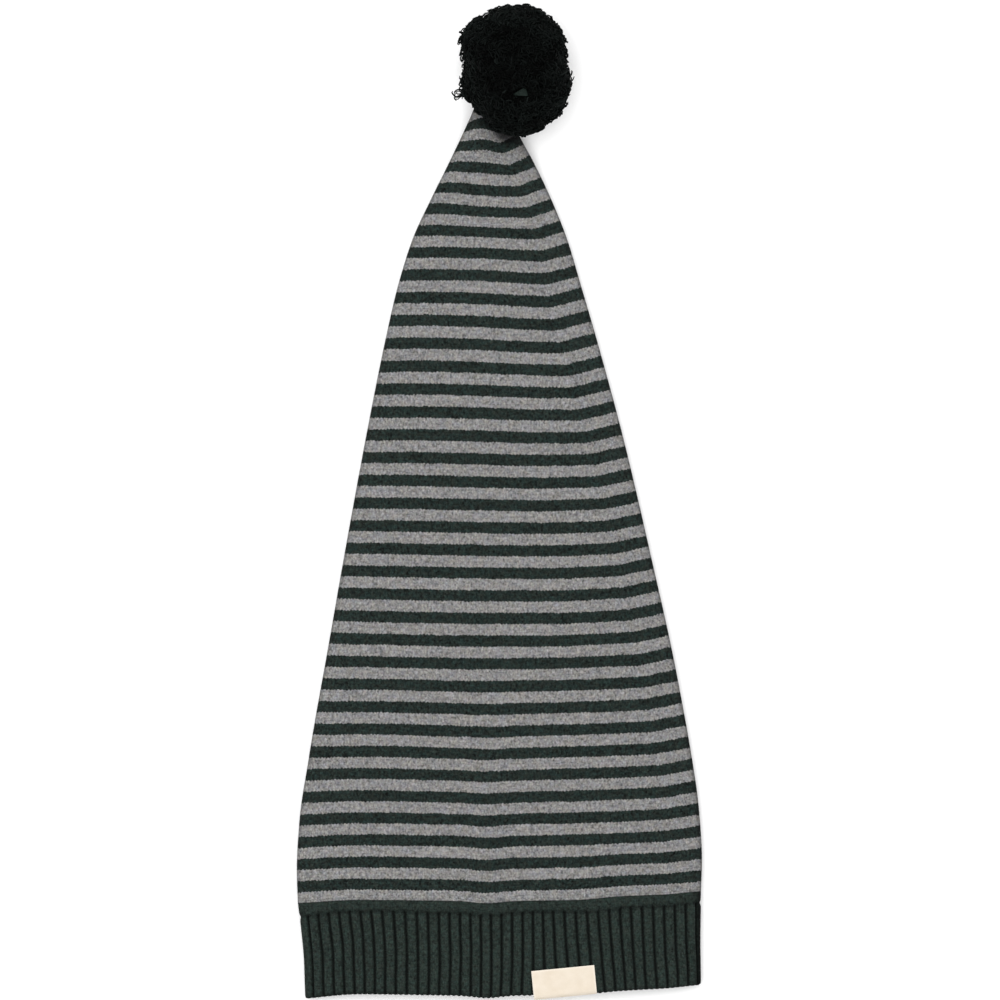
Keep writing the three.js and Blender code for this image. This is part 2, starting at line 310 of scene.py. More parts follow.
# The pompom's outline seen from above: its reach from the middle at each angle, in shares of its
# half length, and the angles in degrees from the right towards the far side.
POMPOM_OUTLINE = table(
    "along reach",
    (-180, 0.765), (-168, 0.8), (-156, 0.85), (-144, 0.82), (-132, 0.87),
    (-122, 0.87), (-108, 0.96), (-96, 1), (-84, 1.03), (-72, 1.01),
    (-60, 0.94), (-48, 0.96), (-36, 0.895), (-24, 0.88), (-12, 0.82),
    (0, 0.75), (12, 0.735), (24, 0.71), (36, 0.86), (48, 0.92),
    (60, 0.89), (72, 0.965), (88, 0.96), (108, 0.945), (120, 0.875),
    (132, 0.975), (144, 0.965), (156, 0.87), (168, 0.74), (180, 0.765),
)

# Sizes of the pompom, and the ranges that each yarn end is drawn from
POMPOM_MIDDLE = np.array([0.0078, 0.2152, 0.0275])
POMPOM_HALF_LENGTH = 0.0333
POMPOM_HALF_HEIGHT = 0.0285
YARN_ENDS = 13200
YARN_SHARES = np.linspace(0, 1, 8) ** 0.6
YARN_WAVER = 0.2
YARN_LENGTH = 0.0105
YARN_THIN = 0.00036
YARN_THICK = 0.00052
YARN_TAPER = (0.9, 0.5)
CORE_SHARE = 0.82
CORE_RINGS = 40
CORE_SIDES = 56
CORE_BUMPS = 0.02
CORE_LEAST_LEVEL = 0.0002
CORE_TOP_RISE = 0.0005
TUFTS = 1000
TUFT_UNEVEN = 0.0009
TUFT_CLUMP = 0.62
WAY_UNEVEN = 0.03
REACH_SHARE = 0.97
REACH_LUMPS = 0.012
REACH_UNEVEN = 0.0003
STRAY_SHARE = 0.008
STRAY_LENGTH = (0.0008, 0.0022)
LEAST_LOOSE = 0.3
CURL_START = (0.3, 0.65)
CURL_TILT = (1.5, 3.0)
CURL_TWIST = 8
END_LIGHT = (0.85, 1.15)
TUFT_LIGHT = (0.5, 1.6)
# Painted highlights on a few random ends, and painted light round the pompom's sides
HIGHLIGHT_SHARE = 0.03
HIGHLIGHT_GAIN = 0.8
RIM_LIGHT = 1.0
RIM_START = 0.5
RIM_POWER = 1.5

# Tufts of loose ends that stand out of the pompom, at an angle as in the outline above
LOOSE_TUFTS = table(
    "angle spread share length",
    (207, 8, 0.5, 0.003),
    (206, 4, 0.3, 0.0062),
    (24, 16, 0.14, 0.003),
    (48, 5, 0.2, 0.0014),
    (-50, 14, 0.08, 0.002),
)

# The green ends of the tie that show in a parting on top
TIE_ENDS = 9
TIE_START = (0.0065, 0.2013, 0.0512)
TIE_REACH = 0.0075
TIE_WIDTH = 0.0042
TIE_THICK = 0.00036
TIE_ARCH = 0.001
TIE_LEAN = 0.1
TIE_UNEVEN = 0.001
TIE_PARTING = np.array([0.0108, 0.2023, 0.0502])
TIE_CLEAR = np.array([0.0046, 0.0026])


def smooth_curve(keys, values, at):
    """The smooth curve through the values at the keys, which never runs past its neighbours."""
    keys = np.asarray(keys, dtype=float)
    values = np.asarray(values, dtype=float)
    at = np.asarray(at, dtype=float)
    shape = values.shape + (1,) * (at.ndim + 1 - values.ndim)
    values = np.broadcast_to(values.reshape(shape), keys.shape + at.shape)
    spans = np.diff(keys).reshape((-1,) + (1,) * at.ndim)
    steepness = np.diff(values, axis=0) / spans
    steepness = np.concatenate([steepness[:1], steepness, steepness[-1:]])
    before, after = steepness[:-1], steepness[1:]
    same_way = before * after > 0
    slopes = np.where(same_way, 2 * before * after / np.where(same_way, before + after, 1), 0)
    place = np.clip(at, keys[0], keys[-1])
    row = np.clip(np.searchsorted(keys, place, side="right") - 1, 0, len(keys) - 2)
    low, high, slope_low, slope_high = (
        np.take_along_axis(rows, (row + ahead)[None], axis=0)[0]
        for rows, ahead in ((values, 0), (values, 1), (slopes, 0), (slopes, 1))
    )
    span = np.diff(keys)[row]
    share = (place - keys[row]) / span
    left = 1 - share
    return (
        low * left * left * (1 + 2 * share)
        + high * share * share * (3 - 2 * share)
        + span * share * left * (slope_low * left - slope_high * share)
    )


def read_table(rows, column, at):
    """The smooth curve through one column of a table."""
    return smooth_curve([row["along"] for row in rows], [row[column] for row in rows], at)


def tube_cut(turn, half_width, height, inset):
    """Across and up on the cut through the flattened tube, turn counting once round it."""
    across = np.cos(2 * np.pi * turn)
    on_top = np.sin(2 * np.pi * turn) >= 0
    squareness = np.where(on_top, TOP_SQUARENESS, UNDER_SQUARENESS)
    swell = np.clip(1 - np.abs(across) ** squareness, 0, 1) ** (1 / squareness)
    fold = FOLD_SHARE * height
    top = (height - fold - inset) * swell
    under = -(fold - inset) * np.minimum(1, UNDER_PRESS * swell)
    return (half_width - inset) * across, fold + np.where(on_top, top, under)


def waves(x, y, seed, shortest, longest, count=10):
    """A smooth random field of about -1 to 1, with waves between two lengths."""
    draw = np.random.default_rng(seed)
    total = np.zeros(np.broadcast(x, y).shape)
    for _ in range(count):
        way = draw.uniform(0, 2 * np.pi)
        phase = draw.uniform(0, 2 * np.pi)
        length = draw.uniform(shortest, longest)
        total += np.sin(2 * np.pi * (x * np.cos(way) + y * np.sin(way)) / length + phase)
    return total / math.sqrt(count)


def half_and_lean(cuts, along):
    """The half width of the flat crown or band, and how far its middle lies to the right."""
    return (CROWN_HALF * read_table(cuts, column, along) for column in ("half", "lean"))


def crown_edge(side, along):
    """Where the crown's left or right fold lies across the hat."""
    half, lean = half_and_lean(CROWN_CUTS, along)
    return lean + side * half


def row_drop(x, along):
    """How far a knitted row lies below its level at a place on the hat, and the shaping line."""
    left = crown_edge(LEFT, along)
    line = crown_edge(RIGHT, along) - CROWN_HALF * read_table(ROW_LIE, "inset", along)
    share = np.clip((x - left) / (line - left), 0, 1)
    level = np.zeros(np.shape(share))
    heights = [
        level if name == "level" else read_table(ROW_LIE, name, along) + level for name in ROW_PLACES
    ]
    drop = ROW_RISE * smooth_curve(list(ROW_PLACES.values()), heights, share)
    crease = np.exp(-(((x - CREASE_X) / CREASE_WIDTH) ** 2)) * np.clip(1 - along / CREASE_REACH, 0, 1)
    narrowing = crown_edge(RIGHT, along - EDGE_STEP) - crown_edge(RIGHT, along + EDGE_STEP)
    edge_slope = narrowing / (2 * EDGE_STEP * CROWN_LENGTH)
    past = KINK_SOFTNESS * np.logaddexp(0, (x - line) / KINK_SOFTNESS)
    return drop + CREASE_DROP * crease - (KINK_SLOPE + KINK_BY_EDGE * edge_slope) * past, line


def stripe_count(y):
    """How many stripe pitches lie between the seam and a level along the hat."""
    past_ends, samples = (-0.02, 1.05), 1200
    along = np.linspace(*past_ends, samples)
    pitch = STRIPE_PITCH * read_table(STRIPES, "pitch", along)
    steps = np.diff(along) * CROWN_LENGTH / ((pitch[1:] + pitch[:-1]) / 2)
    count = np.concatenate([[0], np.cumsum(steps)])
    count = count - np.interp(0, along, count)
    return np.interp((y + ROWS_IN_SEAM - SEAM_Y) / CROWN_LENGTH, along, count)


def shade_near(distance, width, light, power=2):
    """How light the painted shade leaves the knit at a distance from its darkest place, which has the light
    given.
    """
    return 1 - (1 - light) * np.exp(-((distance / width) ** power))


def place_in_scene(name, data):
    """A new object in the scene."""
    thing = bpy.data.objects.new(name, data)
    bpy.context.scene.collection.objects.link(thing)
    return thing


def make_mesh(name, points, faces, bake_uv, attributes):
    """A mesh object from points, faces, a flat layout for baking and values at its points."""
    mesh = bpy.data.meshes.new(name)
    mesh.from_pydata(points.tolist(), [], faces)
    if bake_uv is not None:
        layer = mesh.uv_layers.new(name="OFBake")
        layer.data.foreach_set("uv", np.asarray(bake_uv, dtype=np.float32).ravel())
    for title, values in attributes.items():
        values = np.asarray(values, dtype=np.float32)
        kind, field = ("FLOAT", "value") if values.ndim == 1 else ("FLOAT_VECTOR", "vector")
        mesh.attributes.new(title, kind, "POINT").data.foreach_set(field, values.ravel())
    mesh.polygons.foreach_set("use_smooth", [True] * len(mesh.polygons))
    mesh.update()
    return place_in_scene(name, mesh)


def ring_grid(ring_count, sides, closed, levels):
    """Quads between rings of points, and their corners in the flat layout for baking."""
    faces, corners = [], []
    rows = ring_count if closed else ring_count - 1
    for row in range(rows):
        here, ahead = row * sides, ((row + 1) % ring_count) * sides
        low, high = levels[row], levels[row + 1]
        for side in range(sides):
            beside = (side + 1) % sides
            faces.append((here + side, here + beside, ahead + beside, ahead + side))
            start, end = side / sides, (side + 1) / sides
            corners.extend(((start, low), (end, low), (end, high), (start, high)))
    return faces, corners


def end_fans(count, sides, first_levels, last_levels):
    """Triangles that close a tube's ends, where the levels are of each middle point and its ring."""
    faces, corners = [], []
    for side in range(sides):
        beside = (side + 1) % sides
        start, end = side / sides, (side + 1) / sides
        middle = (start + end) / 2
        faces.append((count, beside, side))
        corners.extend(((middle, first_levels[0]), (end, first_levels[1]), (start, first_levels[1])))
        faces.append((count + 1, count - sides + side, count - sides + beside))
        corners.extend(((middle, last_levels[0]), (start, last_levels[1]), (end, last_levels[1])))
    return faces, corners


def crown_points(along, turn, inset):
    """Points on the crown's outer or inner face."""
    half, lean = half_and_lean(CROWN_CUTS, along)
    height = CROWN_HEIGHT * read_table(CROWN_CUTS, "height", along)
    rise = TIP_RISE * read_table(CROWN_CUTS, "rise", along)
    across, up = tube_cut(turn, half, height, inset)
    x = across + lean
    lie = np.clip(1 - along / SEAM_LIE_REACH, 0, 1)
    drop, _ = row_drop(x, np.zeros_like(along))
    y = SEAM_Y - SEAM_GAP / 2 * (along == 0) + along * CROWN_LENGTH - lie * drop
    top = np.clip(np.sin(2 * np.pi * turn), 0, 1) ** 0.5
    gather = np.clip((along - GATHER_START) / GATHER_SPAN, 0, 1)
    lumps = LUMP_HEIGHT * waves(x, y, seed=11, shortest=0.035, longest=0.11)
    ripples = RIPPLE_HEIGHT * waves(x, y, seed=12, shortest=0.008, longest=0.02)
    swing = PUCKER_SWING * np.sin(PUCKER_WAVES * along)
    puckers = PUCKER_HEIGHT * gather * np.cos(2 * np.pi * (PUCKERS_ROUND * turn + swing))
    dent = np.exp(-(((x - DENT_X) / DENT_WIDTH) ** 2)) * np.clip(1 - along / DENT_REACH, 0, 1)
    z = up + rise + top * (lumps + ripples + puckers - DENT_DEPTH * dent)
    return np.stack([x, y, z], axis=-1)


def crown_rings():
    """Rings of points from the crown's tip down its outer face, round its lip and up inside."""
    turn = np.arange(CROWN_SIDES)[None, :] / CROWN_SIDES
    lower = np.linspace(0, TIP_RINGS_FROM, OUTER_RINGS - TIP_RINGS)
    upper = np.linspace(TIP_RINGS_FROM, OUTER_END, TIP_RINGS + 1)[1:]
    outer_along = np.concatenate([lower, upper])[::-1, None]
    inner_along = np.linspace(0, INNER_END, INNER_RINGS)[:, None]
    outer = crown_points(*np.broadcast_arrays(outer_along, turn), 0)
    inner = crown_points(*np.broadcast_arrays(inner_along, turn), CROWN_WALL)
    lip = (outer[-1] + inner[0]) / 2 - [0, LIP_BULGE, 0]
    return np.concatenate([outer, lip[None], inner])


def crown_shade(points, along):
    """Painted shade on the crown: darker at the side folds, in the pompom's shadow and where the tip tucks
    in under it.
    """
    x, y = points[:, 0], points[:, 1]
    # Painted shade at the side folds
    shade = shade_near(x - crown_edge(LEFT, along), FOLD_SHADE_WIDTH, LEFT_FOLD_LIGHT)
    shade = shade * shade_near(crown_edge(RIGHT, along) - x, FOLD_SHADE_WIDTH, RIGHT_FOLD_LIGHT)
    # Painted shadow of the pompom, fading away from its outline
    from_pompom = (points - POMPOM_MIDDLE) * [1, 1, 0]
    clear = np.linalg.norm(from_pompom, axis=1) - pompom_reach(unit(from_pompom))
    shade = shade * shade_near(np.clip(clear, 0, None), POMPOM_SHADOW_WIDTH, POMPOM_SHADOW_LIGHT, power=1)
    # Painted shadow where the tip tucks in under the pompom
    from_tuck_shadow = np.hypot(x - TUCK_SHADOW_PLACE[0], y - TUCK_SHADOW_PLACE[1])
    return shade * shade_near(from_tuck_shadow, TUCK_SHADOW_RADIUS, TUCK_SHADOW_LIGHT, power=8)


def crown_knit():
    """The crown as one knitted tube, its rows and columns of stitches kept at its points."""
    rings = crown_rings()
    points = rings.reshape(-1, 3)
    # Levels in the flat layout for baking, where the outer and the inner face lie apart
    outer_levels = np.linspace(0.76, 0, OUTER_RINGS)
    inner_levels = [0.765, 0.768, *np.linspace(0.77, 0.995, INNER_RINGS)]
    tip_levels, end_levels = (0.7605, 0.76), (0.9985, 0.995)
    outer_faces, outer_corners = ring_grid(OUTER_RINGS, CROWN_SIDES, False, outer_levels)
    inner_faces, inner_corners = ring_grid(INNER_RINGS + 2, CROWN_SIDES, False, inner_levels)
    fan_faces, fan_corners = end_fans(len(points), CROWN_SIDES, tip_levels, end_levels)
    shift = (OUTER_RINGS - 1) * CROWN_SIDES
    inner_faces = [tuple(corner + shift for corner in face) for face in inner_faces]
    tip, end = (ring.mean(axis=0) + [0, END_BULGE, 0] for ring in (rings[0], rings[-1]))
    points = np.concatenate([points, [tip, end]])
    x = points[:, 0]
    along = np.clip((points[:, 1] - SEAM_Y) / CROWN_LENGTH, 0, 1)
    drop, line = row_drop(x, along)
    course = stripe_count(points[:, 1] + drop) * PITCH_COURSES
    strip_wale = (x - crown_edge(RIGHT, along)) / WALE
    values = {
        "knit": np.stack([x / WALE, course, strip_wale], axis=-1),
        "past_line": (x - line) / WALE,
        "shade": crown_shade(points, along),
    }
    faces = outer_faces + inner_faces + fan_faces
    return make_mesh("crown_knit", points, faces, outer_corners + inner_corners + fan_corners, values)


class Shader:
    """A material's nodes, with one short call for each kind."""

    def __init__(self, name):
        self.material = bpy.data.materials.new(name)
        self.material.use_nodes = True
        self.tree = self.material.node_tree
        self.tree.nodes.clear()
        self.surface = self.tree.nodes.new("ShaderNodeBsdfPrincipled")
        output = self.tree.nodes.new("ShaderNodeOutputMaterial")
        self.tree.links.new(self.surface.outputs["BSDF"], output.inputs["Surface"])

    def feed(self, socket, value):
        """Puts a number, a colour or another node's output into a socket."""
        if isinstance(value, bpy.types.NodeSocket):
            self.tree.links.new(value, socket)
        elif isinstance(value, (tuple, list)) and len(value) == 3 and len(socket.default_value) == 4:
            socket.default_value = (*value, 1)
        else:
            socket.default_value = value

    def node(self, kind, inputs, output=0, **settings):
        """One output of a new node, from its settings and what goes into its sockets."""
        node = self.tree.nodes.new("ShaderNode" + kind)
        for setting, value in settings.items():
            setattr(node, setting, value)
        for socket, value in inputs.items():
            self.feed(node.inputs[socket], value)
        return node.outputs[output]

    def math(self, operation, *values):
        """One step of arithmetic."""
        return self.node("Math", dict(enumerate(values)), operation=operation)

    def product(self, first, second):
        """Two numbers multiplied."""
        return self.math("MULTIPLY", first, second)

    def add(self, *values):
        """The sum of several numbers."""
        total = values[0]
        for value in values[1:]:
            total = self.math("ADD", total, value)
        return total

    def remap(self, value, low, high, new_low=0.0, new_high=1.0):
        """A range of numbers stretched over another."""
        return self.node("MapRange", dict(enumerate((value, low, high, new_low, new_high))))

    def vector(self, x, y, z):
        """Three numbers as one vector."""
        return self.node("CombineXYZ", {0: x, 1: y, 2: z})

    def parts(self, attribute):
        """The three numbers of a vector kept at the mesh's points."""
        vector = self.node("Attribute", {}, "Vector", attribute_name=attribute)
        return [self.node("SeparateXYZ", {0: vector}, number) for number in range(3)]

    def kept(self, attribute):
        """A number kept at the mesh's points."""
        return self.node("Attribute", {}, "Fac", attribute_name=attribute)

    def dice(self, column, row, seed):
        """A random number for each column and row."""
        return self.node("TexWhiteNoise", {"Vector": self.vector(column, row, seed)}, noise_dimensions="3D")

    def noise(self, scale, detail=1.0, output=0):
        """A smooth random pattern on the object, with scale waves to the metre."""
        place = self.node("TexCoord", {}, "Object")
        return self.node("TexNoise", {"Vector": place, "Scale": scale, "Detail": detail}, output)

    def sway(self, scale, amount, detail=1.0):
        """A smooth random number of about plus or minus the amount."""
        return self.remap(self.noise(scale, detail), *NOISE_RANGE, -amount, amount)

    def mix(self, share, first, second, blend="MIX"):
        """One colour blended into another."""
        return self.node("Mix", {0: share, 6: first, 7: second}, 2, data_type="RGBA", blend_type=blend)

    def times(self, colour, light):
        """A colour made lighter or darker."""
        return self.mix(1.0, colour, self.vector(light, light, light), "MULTIPLY")

    def cloth(self, colour, roughness, gloss, sheen=0.0, tint=(1.0, 1.0, 1.0)):
        """The colour and the dull shine of cloth."""
        looks = {"Base Color": colour, "Roughness": roughness, "Specular IOR Level": gloss}
        looks.update({"Sheen Weight": sheen, "Sheen Roughness": 0.5, "Sheen Tint": tint})
        for name, value in looks.items():
            self.feed(self.surface.inputs[name], value)

    def bump(self, height, distance, strength):
        """Relief too fine for the mesh, on the surface's normal."""
        normal = self.node("Bump", {"Strength": strength, "Distance": distance, "Height": height})
        self.feed(self.surface.inputs["Normal"], normal)


def blotched(shader, scale, first, second, softness, detail=1.0):
    """One colour with soft blotches of another."""
    noise = shader.noise(scale, detail)
    return shader.mix(shader.remap(noise, 0.5 - softness, 0.5 + softness), first, second)


def knit_surface(shader, colour, tint, height, distance, strength):
    """The colour and dull shine of knitted yarn, and its stitches and fibres as relief."""
    shader.cloth(colour, roughness=0.9, gloss=0.1, sheen=0.02, tint=tint)
    fibres = shader.sway(FIBRE_SCALE, amount=0.2, detail=2.0)
    shader.bump(shader.add(height, fibres), distance, strength)


def stitches(shader, wale, course):
    """The V of each knitted stitch: its height, its row and a random number for each leg of the V."""
    leg = shader.math("ABSOLUTE", shader.math("MULTIPLY_ADD", shader.math("FRACT", wale), 2.0, -1.0))
    slanted = shader.add(course, shader.math("MULTIPLY_ADD", leg, -V_SLANT, V_SLANT / 2))
    row = shader.math("FLOOR", slanted)
    legs = shader.product(wale, 2.0)
    round_row, round_leg = (
        shader.math("SINE", shader.product(shader.math("FRACT", count), math.pi))
        for count in (slanted, legs)
    )
    height = shader.math("POWER", shader.product(round_row, round_leg), STITCH_ROUNDNESS)
    return height, row, shader.dice(shader.math("FLOOR", legs), row, seed=0.5)


def yarn_light(shader, height, chance, groove, of_leg, of_blotch, of_fibre):
    """How light the yarn is at each place: by leg of stitch, blotch and fibre, with painted shade in the
    grooves.
    """
    light = shader.remap(chance, 0.0, 1.0, 1 - of_leg, 1 + of_leg)
    blotches = shader.sway(BLOTCH_SCALE, of_blotch)
    light = shader.add(light, blotches, shader.sway(FIBRE_SCALE, of_fibre, detail=2.0))
    return shader.product(light, shader.remap(height, 0.0, GROOVE_SHADE_TOP, 1 - groove, 1.0))


def grey_yarn(shader, tint, fleck):
    """The colour of the grey melange, warmer and cooler in places, with a few flecks."""
    hue = shader.noise(HUE_SCALE, detail=2.0)
    cool, middle, warm = HUE_RANGE
    colour = shader.mix(shader.remap(hue, middle, warm), GREY_YARN, GREY_YARN_WARM)
    colour = shader.mix(shader.remap(hue, cool, middle, 1.0, 0.0), colour, GREY_YARN_COOL)
    return shader.mix(fleck, shader.mix(GREY_TINT, colour, tint, "MULTIPLY"), FLECK)


def green_yarn(shader, tint, first, second):
    """The colour of the blackish green yarn, browner in places."""
    colour = blotched(shader, BROWN_SCALE, first, second, softness=0.15)
    return shader.mix(GREEN_TINT, colour, tint, "MULTIPLY")


def striped_knit_material():
    """Fine knit in level stripes of grey melange and blackish green yarn."""
    shader = Shader("striped_knit")
    wale, course, strip_wale = shader.parts("knit")
    past = shader.math("GREATER_THAN", shader.kept("past_line"), 0.0)
    chosen = shader.add(wale, shader.product(past, shader.math("SUBTRACT", strip_wale, wale)))
    bent_wale = shader.add(chosen, shader.sway(120.0, amount=0.35))
    bent_course = shader.add(course, shader.sway(260.0, amount=0.2), shader.sway(900.0, amount=0.12))
    height, row, chance = stitches(shader, bent_wale, bent_course)
    place = shader.math("FRACT", shader.math("DIVIDE", shader.add(row, 0.5), float(PITCH_COURSES)))
    dark = shader.math("GREATER_THAN", place, 1 - DARK_COURSES / PITCH_COURSES)
    tint = shader.noise(TINT_SCALE, output=1)
    shade = shader.kept("shade")
    fleck = shader.math("LESS_THAN", shader.dice(bent_wale, row, seed=7.5), FLECK_CHANCE)
    light = yarn_light(shader, height, chance, groove=0.2, of_leg=0.22, of_blotch=0.37, of_fibre=0.22)
    grey = shader.times(grey_yarn(shader, tint, fleck), light)
    light = yarn_light(shader, height, chance, groove=0.3, of_leg=0.36, of_blotch=0.6, of_fibre=0.36)
    green = shader.times(green_yarn(shader, tint, DARK_YARN, DARK_YARN_BROWN), light)
    # Painted shade: the kept shade darkens both stripes, and the green ones once more
    colour = shader.times(shader.mix(dark, grey, shader.times(green, shade)), shade)
    knit_surface(shader, colour, (0.8, 0.82, 0.82), height, distance=0.00035, strength=0.8)
    return shader.material


def band_rows():
    """Levels of the band's outer rings above the mouth, closer where the ribs begin."""
    lower_end, fine_start, fine_end, strip_start = RIB_TOP + np.array([-0.0022, -0.0018, 0.0012, 0.0018])
    lower = np.linspace(LIP_ROUND, lower_end, num=34)
    fine = np.linspace(fine_start, fine_end, num=9)
    strip = np.linspace(strip_start, BAND_HEIGHT, num=5)
    return np.concatenate([lower, fine, strip])


def inside_ribs(x, z, fine, half):
    """Levels on the band's inner face, kept clear of the grooves between the outer ribs."""
    across, up = tube_cut(fine, half, CROWN_HEIGHT, 0)
    turn_back = len(fine) // 2
    top = np.interp(x, across[turn_back::-1], up[turn_back::-1])
    underside = np.interp(x, across[turn_back:], up[turn_back:])
    clear = RIB_DEPTH + LEAST_BAND_WALL
    return np.clip(z, underside + clear, top - clear)


def band_ring(level, inset, depth, ribs):
    """One ring of the band, its points sunk by a depth each. ribs counts them from the right fold."""
    along = min(max(level / BAND_HEIGHT, 0), 1)
    half, lean = half_and_lean(BAND_CUTS, along)
    fine = np.linspace(0, 1, BAND_SAMPLES)
    across, up = tube_cut(fine, half, CROWN_HEIGHT, inset)
    length = np.concatenate([[0], np.cumsum(np.hypot(np.diff(across), np.diff(up)))])
    total, left_fold = length[-1], length[len(fine) // 2]
    even = ribs / RIB_COUNT * total
    seen_from_above = np.interp(even, length, across) / (half - inset)
    on_top, at_left, at_right = (
        read_table(RIB_LIE, "shift", side) + (1 - along) * read_table(RIB_LIE, "lean", side)
        for side in (seen_from_above, np.array(-1.0), np.array(1.0))
    )
    underneath = at_left + (at_right - at_left) * (seen_from_above + 1) / 2
    place = even - np.where(even < left_fold, on_top, underneath) * total / RIB_COUNT
    sway = RIB_SWAY * waves(place, level + 0 * place, seed=21, shortest=0.018, longest=0.05)
    place = (place + sway) % total
    ahead, behind = (place + TANGENT_REACH) % total, (place - TANGENT_REACH) % total
    tangent_x = np.interp(ahead, length, across) - np.interp(behind, length, across)
    tangent_z = np.interp(ahead, length, up) - np.interp(behind, length, up)
    size = np.hypot(tangent_x, tangent_z)
    x = np.interp(place, length, across) - tangent_z / size * depth
    z = np.interp(place, length, up) + tangent_x / size * depth
    z = inside_ribs(x, np.maximum(z, LEAST_INNER_LEVEL), fine, half) if inset else np.maximum(z, 0)
    x = x + lean
    drop, _ = row_drop(x, np.full_like(x, (level - BAND_HEIGHT) / CROWN_LENGTH))
    return np.stack([x, HEM_Y + level - drop, z], axis=-1)


def soft_step(value):
    """A smooth rise from 0 to 1."""
    share = np.clip(value, 0, 1)
    return share * share * (3 - 2 * share)


def outer_band(rib, share, nearness, valley):
    """Rings of the band's outer face, and how deep each point lies in a valley or groove, for the painted
    valley shade.
    """
    rise = np.clip((nearness - RIB_SHOULDER_FROM) / (0.5 - RIB_SHOULDER_FROM), 0, 1)
    shoulder = RIB_SHOULDER * (1 - np.cos(np.pi * rise)) / 2
    middle_groove = RIB_MIDDLE_GROOVE * np.exp(-(((share - 0.5) / RIB_MIDDLE_WIDTH) ** 2))
    start = RIB_START_WAVER * waves(rib / RIB_COUNT, 0 * rib, seed=31, shortest=0.02, longest=0.2)
    rings, dents = [], []
    for level in band_rows():
        shown = soft_step((RIB_TOP + start - level) / RIB_FADE + 0.5)
        near_lip = np.clip((level - LIP_ROUND) / LIP_FADE, 0, 1)
        groove = np.exp(-(((level - RIB_TOP - start) / GROOVE_WIDTH) ** 2))
        relief = (LIP_RIB_SHARE + (1 - LIP_RIB_SHARE) * near_lip) * shown
        depth = GROOVE_DEPTH * groove + relief * (RIB_DEPTH * valley + middle_groove - shoulder)
        rings.append(band_ring(level, 0, depth, rib + share))
        # How much painted valley shade each point gets: in the valleys, the groove and the plain strip
        dents.append(shown * valley + GROOVE_DENT * groove + STRIP_DENT * (1 - shown))
    return rings, dents


def inner_band(rib, share, nearness):
    """Rings of the band's inner face, its ribs faint and ending where the plain strip begins."""
    depth = INNER_RIB_DEPTH * (1 - np.clip(1 - nearness / INNER_RIB_VALLEY, 0, 1))
    levels = np.linspace(BAND_HEIGHT, LIP_ROUND, INNER_BAND_RINGS)
    return [band_ring(level, BAND_WALL, -depth * (level < RIB_TOP), rib + share) for level in levels]


def band_lip(outer, inner, share):
    """Rings round the mouth's edge from the inner face to the outer one, with a scallop at each rib."""
    scallop = LIP_SCALLOP * (1 + np.cos(4 * np.pi * share)) / 2
    rings = []
    for turn in reversed(LIP_TURNS):
        swing = math.pi * turn
        blend = (1 - math.cos(swing)) / 2
        ring = outer * (1 - blend) + inner * blend
        ring[:, 1] -= (LIP_ROUND - scallop) * math.sin(swing)
        rings.append(ring)
    return rings


def band_shade(rings):
    """Painted shade on the band: darker at its side folds and round the lip."""
    x, y = rings[..., 0], rings[..., 1]
    from_left = x - x.min(axis=1, keepdims=True)
    from_right = x.max(axis=1, keepdims=True) - x
    # Painted shade at the side folds
    shade = shade_near(from_left, FOLD_SHADE_WIDTH, LEFT_FOLD_LIGHT)
    shade = shade * shade_near(from_right, BAND_SHADE_WIDTH, BAND_FOLD_LIGHT)
    # Painted shade round the lip
    return (shade * shade_near(y - y.min(axis=0), LIP_SHADE_WIDTH, LIP_LIGHT, power=4)).ravel()


def band_knit():
    """The ribbed band, its ribs raised on the outer face and faint on the inner one."""
    rib = np.repeat(np.arange(RIB_COUNT), len(RIB_POINTS))
    share = np.tile(RIB_POINTS, RIB_COUNT)
    nearness = np.minimum(share, 1 - share)
    valley = soft_step(1 - nearness / RIB_VALLEY)
    outer, dents = outer_band(rib, share, nearness, valley)
    inner = inner_band(rib, share, nearness)
    seam_lip = (outer[-1] + inner[0]) / 2 + [0, LIP_BULGE, 0]
    lip = band_lip(outer[0], inner[-1], share)
    rings = np.stack(outer + [seam_lip] + inner + lip)
    # Painted valley shade: none on the seam lip and the inner face, some in the lip's valleys
    dents = np.stack(dents + [0 * valley] * (1 + len(inner)) + [LIP_DENT * valley] * len(lip))
    count = len(rings)
    faces, corners = ring_grid(count, len(share), True, np.linspace(0, 1, count + 1))
    faces = [tuple(reversed(face)) for face in faces]
    corners = np.array(corners).reshape(-1, 4, 2)[:, ::-1].reshape(-1, 2)
    points = rings.reshape(-1, 3)
    wale = np.tile(WALES_ON_RIB * (rib + share) + 0.5, count)
    course = (points[:, 1] - HEM_Y) / BAND_COURSE
    knit = np.stack([wale, course, dents.ravel()], axis=-1)
    return make_mesh("band_knit", points, faces, corners, {"knit": knit, "shade": band_shade(rings)})


def rib_knit_material():
    """Dark ribbed knit in blackish green yarn."""
    shader = Shader("dark_rib_knit")
    wale, course, dent = shader.parts("knit")
    height, _, chance = stitches(shader, wale, shader.add(course, shader.sway(180.0, amount=0.4)))
    light = yarn_light(shader, height, chance, groove=0.25, of_leg=0.25, of_blotch=0.4, of_fibre=0.25)
    # Painted shade at the folds and lip, and painted valley shade between the ribs
    light = shader.product(light, shader.kept("shade"))
    light = shader.product(light, shader.remap(dent, *VALLEY_SHADE_RANGE, 1.0, VALLEY_SHADE_LIGHT))
    colour = green_yarn(shader, shader.noise(TINT_SCALE, output=1), RIB_YARN, RIB_YARN_BROWN)
    colour = shader.times(colour, light)
    knit_surface(shader, colour, (0.75, 0.85, 0.8), height, distance=0.0003, strength=0.7)
    return shader.material


